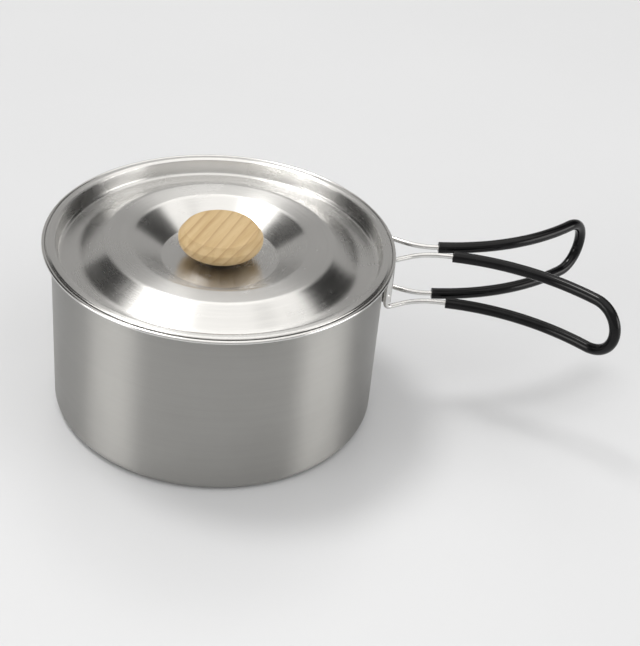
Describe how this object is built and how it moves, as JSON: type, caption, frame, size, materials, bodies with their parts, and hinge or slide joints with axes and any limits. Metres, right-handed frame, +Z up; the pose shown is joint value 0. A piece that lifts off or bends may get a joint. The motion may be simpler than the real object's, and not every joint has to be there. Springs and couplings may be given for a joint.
{
  "type": "camping saucepan",
  "caption": "Straight-walled steel camping saucepan with a stepped drop-in lid, a round wooden knob and a pair of wire handles in black sleeves that fold round the wall.",
  "frame": {"origin": "centre of the pot's flat base", "axes": "+Z up along the pot's axis; +X from the axis through the middle of the handle bracket"},
  "size_m": [0.272, 0.165, 0.093],
  "materials": {
    "pot_steel": "satin stainless steel with a fine brushed grain",
    "lid_steel": "spun stainless steel, smooth, with a faint circular grain",
    "bright_steel": "polished stainless steel",
    "knob_wood": "pale pine, turned and lightly oiled",
    "collar_plastic": "dark moulded spacer",
    "insert_brass": "plain turned brass",
    "grip_vinyl": "glossy black vinyl sleeve"
  },
  "bodies": {
    "pot": {"pot_body": "pot_steel", "handle_bracket": "bright_steel", "bracket_rivet_upper": "bright_steel", "bracket_rivet_lower": "bright_steel"},
    "lid": {"lid": "lid_steel", "knob": "knob_wood", "knob_collar": "collar_plastic", "knob_insert": "insert_brass", "knob_screw": "bright_steel", "knob_washer": "bright_steel"},
    "handle_back": {"handle_wire_back": "bright_steel", "grip_sleeve_back": "grip_vinyl"},
    "handle_front": {"handle_wire_front": "bright_steel", "grip_sleeve_front": "grip_vinyl"}
  },
  "joints": [
    {"name": "lid_lift", "type": "slide", "parent": "pot", "child": "lid", "axis": [0, 0, 1], "range_m": [0, 0.1]},
    {"name": "handle_back_fold", "type": "hinge", "parent": "pot", "child": "handle_back", "pos_m": [0.08, 0.0113, 0.0692], "axis": [0, 0, 1], "range_deg": [-2, 126]},
    {"name": "handle_front_fold", "type": "hinge", "parent": "pot", "child": "handle_front", "pos_m": [0.08, -0.0113, 0.0692], "axis": [0, 0, 1], "range_deg": [-112, 2]}
  ]
}
